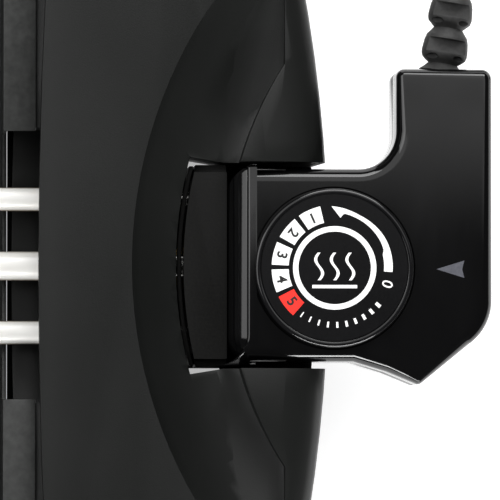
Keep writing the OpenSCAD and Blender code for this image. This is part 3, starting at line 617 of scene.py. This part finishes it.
def opening_cheek(name, side):
    """A side wall of the plug opening, first raised level and then row by row to its own top."""
    clear_selection()
    bpy.ops.mesh.primitive_grid_add(x_subdivisions=len(CHEEK_ROWS) - 1, y_subdivisions=1, size=2.0)
    piece = bpy.context.object
    for vertex in piece.data.vertices:
        x, y, top = CHEEK_ROWS[round((vertex.co.x + 1.0) * (len(CHEEK_ROWS) - 1) / 2)]
        sheet = CHEEK_SHEET if vertex.co.y > 0 else 0.0
        vertex.co = (x * MM, side * (y + sheet) * MM, CHEEK_FOOT * MM)
    bpy.ops.object.mode_set(mode="EDIT")
    bpy.ops.mesh.select_all(action="SELECT")
    bpy.ops.mesh.extrude_region_move(TRANSFORM_OT_translate={"value": (0, 0, CHEEK_RISE * MM)})
    bpy.ops.object.mode_set(mode="OBJECT")
    for vertex in piece.data.vertices:
        if vertex.co.z > (CHEEK_FOOT + CHEEK_RISE / 2) * MM:
            row = min(CHEEK_ROWS, key=lambda row: abs(row[0] * MM - vertex.co.x))
            vertex.co.z = row[2] * MM
    piece.data.transform(Matrix.Translation((SHIFT * MM, 0, 0)))
    settle(piece, name)
    outward(piece)
    return dress(smoothed(piece, 30), "base", FINISHES["housing"], "housing")


opening_cheek("opening_cheek_back", 1)
opening_cheek("opening_cheek_front", -1)

HEATER_RADIUS = 3.25
heater = tube_along("heater_sheath", element_line(), HEATER_RADIUS)
dress(heater, "base", FINISHES["heater_steel"], "heater_steel", "heating_element")


# ---------------------------------------------------------------- controller

def case_outline():
    """The case's plan: for each point x, y, its outward direction and its share of the inset.

    It runs from the collar round the arm's inner corner, the arm's end, the rear corner and the beak.
    The two points at the collar are drawn in along the collar only.
    """
    raw = [(218.4, -26.6, 1.0), (218.4, 26.6, 1.0)]
    raw += [(*arc_point(249.4, 37.1, 10.5, -90 + 5.625 * i), 1.0) for i in range(17)]
    raw += [(*arc_point(262.1, 52.2, 2.2, 180 - 11.25 * i), 0.6) for i in range(9)]
    raw += [(*arc_point(283.6, 51.6, 2.8, 90 - 11.25 * i), 0.75) for i in range(9)]
    raw += [(*arc_point(271.6, -9.6, 14.8, -3.5 * i), 1.0) for i in range(17)]
    raw += [(*arc_point(265.8, -31.4, 1.5, -56 - 12.25 * i), 0.4) for i in range(5)]
    raw += [(256.9, -29.3, 0.8), (247.9, -26.6, 1.0)]
    plan = []
    for i, (x, y, share) in enumerate(raw):
        back = Vector((x - raw[i - 1][0], y - raw[i - 1][1])).normalized()
        ahead = raw[(i + 1) % len(raw)]
        on = Vector((ahead[0] - x, ahead[1] - y)).normalized()
        way = Vector((-back.y - on.y, back.x + on.x)).normalized()
        reach = 1.0 / max(0.5, way.dot(Vector((-back.y, back.x))))
        nx, ny = way.x * reach, way.y * reach
        if i < 2:
            nx, ny = 0.0, (-1.0 if i == 0 else 1.0)
        plan.append((x, y, nx, ny, share))
    return plan


# The groove along the part line, and the flat ring past the rounded edge
GROOVE_GAP = 0.05
GROOVE_DEPTH = 0.35
GROOVE_RISE = 0.4
EDGE_RING = 0.3
EDGE_STEPS = 7


def fillet_levels(radius, edge, way):
    """Levels from the part line to a rounded edge: (height, inset) pairs."""
    levels = [
        (PART_LINE + way * GROOVE_GAP, GROOVE_DEPTH), (PART_LINE + way * GROOVE_RISE, 0.0),
        (edge - way * radius, 0.0)]
    for i in range(1, EDGE_STEPS + 1):
        share = math.radians(90 * i / EDGE_STEPS)
        levels.append((edge - way * radius * (1 - math.sin(share)), radius * (1 - math.cos(share))))
    levels.append((edge, radius + EDGE_RING))
    return levels


def cylinder_cutter(x, y, low, high, radius, flare=0.0, vertices=96):
    clear_selection()
    bpy.ops.mesh.primitive_cylinder_add(
        vertices=vertices, radius=radius * MM, depth=(high - low) * MM,
        location=place(x, y, (low + high) / 2))
    cutter = bpy.context.object
    if flare:
        for vertex in cutter.data.vertices:
            if (vertex.co.z > 0) == (flare > 0):
                vertex.co.x *= (radius + abs(flare)) / radius
                vertex.co.y *= (radius + abs(flare)) / radius
    return settle(cutter, "cutter")


DIAL_WELL_RADIUS = 22.25
DIAL_WELL_FLOOR = 63.0
SCREW_WELL_RADIUS = 2.7
CASE_SCREWS = ((224.4, 20.6), (224.4, -20.6), (279.9, -8.0), (264.5, 41.4))
COLLAR_X = 215.8
COLLAR_SIZE = (5.2, 55.4, 28.8)
COLLAR_CORNER = 8.5
COLLAR_EDGE = 2.3

case_plan = case_outline()
upper_case = risen("upper_case", case_plan, fillet_levels(3.3, CASE_TOP, 1.0))
lower_case = risen("lower_case", case_plan, fillet_levels(3.0, CASE_BOTTOM, -1.0))
for shell in (upper_case, lower_case):
    wall = shell.modifiers.new("wall", "SOLIDIFY")
    wall.thickness = CASE_WALL * MM
    wall.offset = -1.0
    wall.use_even_offset = False
    apply_modifiers(shell)
cut_with(upper_case, cylinder_cutter(DIAL_X, DIAL_Y, DIAL_WELL_FLOOR, 63.8, DIAL_WELL_RADIUS))
cut_with(upper_case, cylinder_cutter(DIAL_X, DIAL_Y, 63.7, 64.05, DIAL_WELL_RADIUS, 0.35))
for x, y in CASE_SCREWS:
    cut_with(lower_case, cylinder_cutter(x, y, 35.0, 39.0, SCREW_WELL_RADIUS, vertices=40))
for shell in (upper_case, lower_case):
    smoothed(shell, 32)
dress(upper_case, "controller", FINISHES["case_gloss"], "case_gloss", "top_shell")
dress(lower_case, "controller", FINISHES["case_gloss"], "case_gloss", "bottom_shell")

clear_selection()
bpy.ops.mesh.primitive_cube_add(size=1.0, location=place(COLLAR_X, 0, SOCKET_HEIGHT))
collar = bpy.context.object
collar.scale = [side * MM for side in COLLAR_SIZE]
settle(collar, "case_collar")
bpy.ops.object.mode_set(mode="EDIT")
bm = bmesh.from_edit_mesh(collar.data)
for edge in bm.edges:
    along = edge.verts[0].co - edge.verts[1].co
    edge.select = abs(along.x) > 0.001
bm.select_flush_mode()
bmesh.update_edit_mesh(collar.data)
bpy.ops.mesh.bevel(offset=COLLAR_CORNER * MM, segments=14, affect="EDGES")
bpy.ops.object.mode_set(mode="OBJECT")
rounded_edges(collar, COLLAR_EDGE, 8, 60)
smoothed(collar, 35)
dress(collar, "controller", FINISHES["case_gloss"], "case_gloss", "collar")


# ---------------------------------------------------------------- strain relief

RIB_COUNT = 4
RIB_PITCH = 10.1
RIB_START = 2.1


def relief_form():
    """The relief's section, from inside the case to its free end, with ribs that grow thinner."""
    section = [
        (0.02, -6.0), (5.8, -6.0), (5.8, -4.2), (4.3, -4.0), (4.3, 0.0), (6.4, 0.05), (5.2, 1.0),
        (4.1, 2.2)]
    for i in range(RIB_COUNT):
        base = RIB_START + RIB_PITCH * i
        big = 6.42 - 0.25 * i
        section += [
            (big - 1.2, base + 0.9), (big - 0.35, base + 1.7), (big - 0.05, base + 2.7), (big, base + 3.6),
            (big - 0.3, base + 6.4), (big - 0.75, base + 8.0), (4.6, base + 9.3)]
        if i < RIB_COUNT - 1:
            section += [(4.05, base + 10.1)]
    section += [(4.2, 42.3), (3.9, 43.0), (0.02, 43.0)]
    return section


def relief_slot(base, side):
    clear_selection()
    bpy.ops.mesh.primitive_cube_add(size=1.0, location=(0, side * 5.6 * MM, (base + 5.0) * MM))
    slot = bpy.context.object
    slot.scale = (16 * MM, 4.4 * MM, 3.9 * MM)
    return settle(slot, "slot")


def relief_pit(base, side, across):
    clear_selection()
    bpy.ops.mesh.primitive_cylinder_add(
        vertices=20, radius=0.75 * MM, depth=4 * MM,
        location=(across * 3.6 * MM, side * 5.0 * MM, (base + 1.7) * MM), rotation=(math.radians(90), 0, 0))
    pit = bpy.context.object
    pit.scale = (1.9, 1.0, 1.0)
    return settle(pit, "pit")


relief = turned("flex_relief", relief_form(), (0, 0, 0), 64)
for i in range(RIB_COUNT):
    base = RIB_START + RIB_PITCH * i
    for side in (-1, 1):
        cut_with(relief, relief_slot(base, side))
        for across in (-1, 1):
            cut_with(relief, relief_pit(base, side, across))
rounded_edges(relief, 0.22, 2, 40)
smoothed(relief, 38)
lie = Matrix.Translation(place(273.6, 54.4, SOCKET_HEIGHT)) @ Matrix.Rotation(math.radians(-9), 4, "Z")
relief.data.transform(lie @ Matrix.Rotation(math.radians(-90), 4, "X"))
dress(relief, "controller", FINISHES["relief_rubber"], "relief_rubber", "strain_relief")


# ---------------------------------------------------------------- dial

hub = place(DIAL_X, DIAL_Y, 0)
knob = turned(
    "dial_rim",
    [(0.5, 63.5), (21.5, 63.5), (21.9, 63.9), (21.9, 66.5), (21.82, 66.8), (21.6, 67.05), (21.2, 67.2),
     (20.75, 67.2), (20.5, 67.1), (20.4, 66.9), (20.4, 66.45), (0.5, 66.45)],
    hub, 144)
smoothed(knob, 30)
dress(knob, "dial", FINISHES["dial_gloss"], "dial_gloss", "dial_knob")
face = turned(
    "dial_face",
    [(0.02, 66.48), (20.25, 66.48), (20.3, 66.55), (20.3, 66.8), (20.2, 66.9), (0.02, 66.9)],
    hub, 144)
smoothed(face, 30)
dress(face, "dial", FINISHES["dial_print"], "dial_print", "dial_disc")

# The heights of the print, and of the figures on its blocks
INK_LOW = 66.86
INK_TOP = 66.94
FIGURE_LOW = 66.9
FIGURE_TOP = 66.97
# Each block's middle and its width, in degrees round the dial
BLOCK_ANGLES = (114.0, 140.0, 166.5, 192.3, 218.0)
BLOCK_WIDTH = 21.3


def ink_band(name, inner, outer, start, sweep, finish, steps):
    section = [(inner, INK_LOW), (outer, INK_LOW), (outer, INK_TOP), (inner, INK_TOP)]
    piece = turned(name, section, hub, steps, start, sweep)
    return dress(piece, "dial", FINISHES[finish], "dial_print")


def ink_shape(name, outline, finish):
    """A flat printed shape from an outline round the dial's middle."""
    clear_selection()
    bpy.ops.mesh.primitive_circle_add(vertices=len(outline), radius=0.01, fill_type="NGON")
    piece = bpy.context.object
    for vertex, (x, y) in zip(piece.data.vertices, outline):
        vertex.co = (x * MM, y * MM, INK_LOW * MM)
    bpy.ops.object.mode_set(mode="EDIT")
    bpy.ops.mesh.select_all(action="SELECT")
    bpy.ops.mesh.extrude_region_move(TRANSFORM_OT_translate={"value": (0, 0, (INK_TOP - INK_LOW) * MM)})
    bpy.ops.mesh.select_all(action="SELECT")
    bpy.ops.mesh.normals_make_consistent(inside=False)
    bpy.ops.object.mode_set(mode="OBJECT")
    piece.data.transform(Matrix.Translation(hub))
    settle(piece, name)
    return dress(piece, "dial", FINISHES[finish], "dial_print")


def ink_figure(name, figure, angle, radius, size, finish, weight=0.0, low=INK_LOW, top=INK_TOP):
    """A number whose head points at the dial's middle."""
    clear_selection()
    bpy.ops.object.text_add(location=(0, 0, 0))
    piece = bpy.context.object
    piece.data.body = figure
    piece.data.size = size * MM
    piece.data.align_x = "CENTER"
    piece.data.align_y = "CENTER"
    piece.data.offset = weight * MM
    piece.data.extrude = (top - low) / 2 * MM
    bpy.ops.object.convert(target="MESH")
    piece = bpy.context.object
    turn = Matrix.Rotation(math.radians(angle), 4, "Z")
    piece.data.transform(Matrix.Rotation(math.radians(90), 4, "Z"))
    piece.data.transform(Matrix.Translation((radius * MM, 0, (low + top) / 2 * MM)))
    piece.data.transform(turn)
    piece.data.transform(Matrix.Translation(hub))
    settle(piece, name)
    outward(piece)
    return dress(piece, "dial", FINISHES[finish], "dial_print")


ink_band("print_ring", 10.0, 11.5, 0, 360, "print_white", 120)
for count, angle in enumerate(BLOCK_ANGLES):
    finish = "print_red" if count == 4 else "print_white"
    ink_band(f"print_block_{count + 1}", 12.7, 17.4, angle - BLOCK_WIDTH / 2, BLOCK_WIDTH, finish, 12)
    ink_figure(
        f"print_figure_{count + 1}", str(count + 1), angle, 15.05, 3.9, "print_black", 0.1,
        FIGURE_LOW, FIGURE_TOP)
ink_figure("print_figure_0", "0", -17.0, 15.4, 4.2, "print_white", 0.02)

# The curved arrow's two edges, as (angle, radius) pairs
OUTER = ((-4, 16.0), (15, 16.1), (30, 16.2), (50, 16.1), (64, 16.05), (75, 16.35), (84, 16.7), (93, 17.0))
INNER = (
    (83.4, 13.9), (80, 15.2), (64, 14.95), (45, 14.75), (30, 14.6), (20, 14.4), (15.5, 13.75), (-4, 13.6))


def radius_at(angle, table):
    rows = sorted(table)
    for (a, r), (b, q) in zip(rows, rows[1:]):
        if a <= angle <= b:
            return r + (q - r) * (angle - a) / (b - a)
    return rows[-1][1]


arrow_out = [-4 + 97 * i / 48 for i in range(49)]
arrow_back = [83.4 - 87.4 * i / 60 for i in range(61)]
arrow = [arc_point(0, 0, radius_at(angle, OUTER), angle) for angle in arrow_out]
arrow += [arc_point(0, 0, radius_at(angle, INNER), angle) for angle in arrow_back]
ink_shape("print_arrow", arrow, "print_white")

WAVE_PITCH = 4.3
WAVE_SWING = 0.95
WAVE_HALF = 0.42


def wave_point(middle, side, share):
    """A point on one edge of a heat wave, from its foot at share 0 to its top at share 1."""
    return (middle + WAVE_SWING * math.sin(2 * math.pi * share) + side * WAVE_HALF, -3.4 + 7.6 * share)


for i in range(3):
    middle = (i - 1) * WAVE_PITCH
    wave = [wave_point(middle, -1, k / 24) for k in range(25)]
    wave += [wave_point(middle, 1, k / 24) for k in range(24, -1, -1)]
    ink_shape(f"print_wave_{i + 1}", wave, "print_white")
ink_shape("print_bar", [(-6.2, -5.6), (6.2, -5.6), (6.2, -4.7), (-6.2, -4.7)], "print_white")
for i in range(10):
    middle = 235.0 + 9.4 * i
    half = 0.6 + 0.12 * i
    ink_band(f"print_tick_{i + 1}", 14.9, 16.5, middle - half, 2 * half, "print_white", 3)


# ---------------------------------------------------------------- finishes on the frame's own parts

FRAME_FINISHES = {
    "earth_clip": "brass_contact", "mechanism_plate": "sheet_steel", "bimetal_strip": "bimetal",
    "contact_spring": "spring_bronze", "contact_rivets": "pin_steel", "cam_follower": "natural_nylon",
    "cord_clamp": "tie_plastic", "inner_leads": "lead_insulation", "shell_screws": "screw_steel",
    "pointer_mark": "pointer_grey", "dial_clip": "screw_steel",
}
for node, finish in FRAME_FINISHES.items():
    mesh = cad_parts[node].data
    if len(mesh.materials) == 0:
        mesh.materials.append(FINISHES[finish])
    for i in range(len(mesh.materials)):
        mesh.materials[i] = FINISHES[finish]


# ---------------------------------------------------------------- floor and light

clear_selection()
bpy.ops.mesh.primitive_plane_add(size=14.0, location=(0, 0, -0.0002))
floor = bpy.context.object
floor.name = "floor"
floor_finish, _, _, shader, _ = new_finish("pale_floor")
shader.inputs["Base Color"].default_value = (0.92, 0.92, 0.92, 1.0)
shader.inputs["Roughness"].default_value = 0.9
shader.inputs["Emission Color"].default_value = (1.0, 1.0, 1.0, 1.0)
shader.inputs["Emission Strength"].default_value = 0.45
floor.data.materials.append(floor_finish)

world = bpy.data.worlds.new("studio")
world.use_nodes = True
world.node_tree.nodes["Background"].inputs["Color"].default_value = (1.0, 1.0, 1.0, 1.0)
world.node_tree.nodes["Background"].inputs["Strength"].default_value = 0.07
bpy.context.scene.world = world


def soft_light(name, where, aim, width, depth, power):
    data = bpy.data.lights.new(name, "AREA")
    data.shape = "RECTANGLE"
    data.size = width
    data.size_y = depth
    data.energy = power
    light = bpy.data.objects.new(name, data)
    bpy.context.scene.collection.objects.link(light)
    light.location = where
    light.rotation_mode = "QUATERNION"
    light.rotation_quaternion = (Vector(aim) - Vector(where)).to_track_quat("-Z", "Y")


PANEL_X = 0.1
PANEL_HEIGHT = 0.664
PANEL_WIDTH = 1.1
STRIP_DEPTH = 0.01


def panel(name, y, depth, glow):
    """A soft panel overhead, facing down, of one brightness over its whole face."""
    power = glow * math.pi * PANEL_WIDTH * depth
    soft_light(name, (PANEL_X, y, PANEL_HEIGHT), (PANEL_X, y, 0), PANEL_WIDTH, depth, power)


soft_light("softbox_left", (-1.3, 0.2, 1.5), (0.1, 0, 0), 1.4, 1.4, 14)
soft_light("softbox_back", (0.5, 1.5, 1.2), (0.2, 0, 0), 1.6, 0.9, 29)
soft_light("strip_front", (0.3, -1.3, 0.62), (0.2, 0, 0.05), 1.6, 0.3, 30)
panel("overhead", 0.39, 0.6, 1.3)
# Thin strips that fade out one edge of the panel
for i, glow in enumerate((0.1, 0.35, 0.6, 0.85, 1.1)):
    panel(f"overhead_edge_{i + 1}", 0.04 + STRIP_DEPTH * i, STRIP_DEPTH, glow)
bpy.context.scene.view_settings.view_transform = "Standard"
bpy.context.scene.view_settings.look = "None"
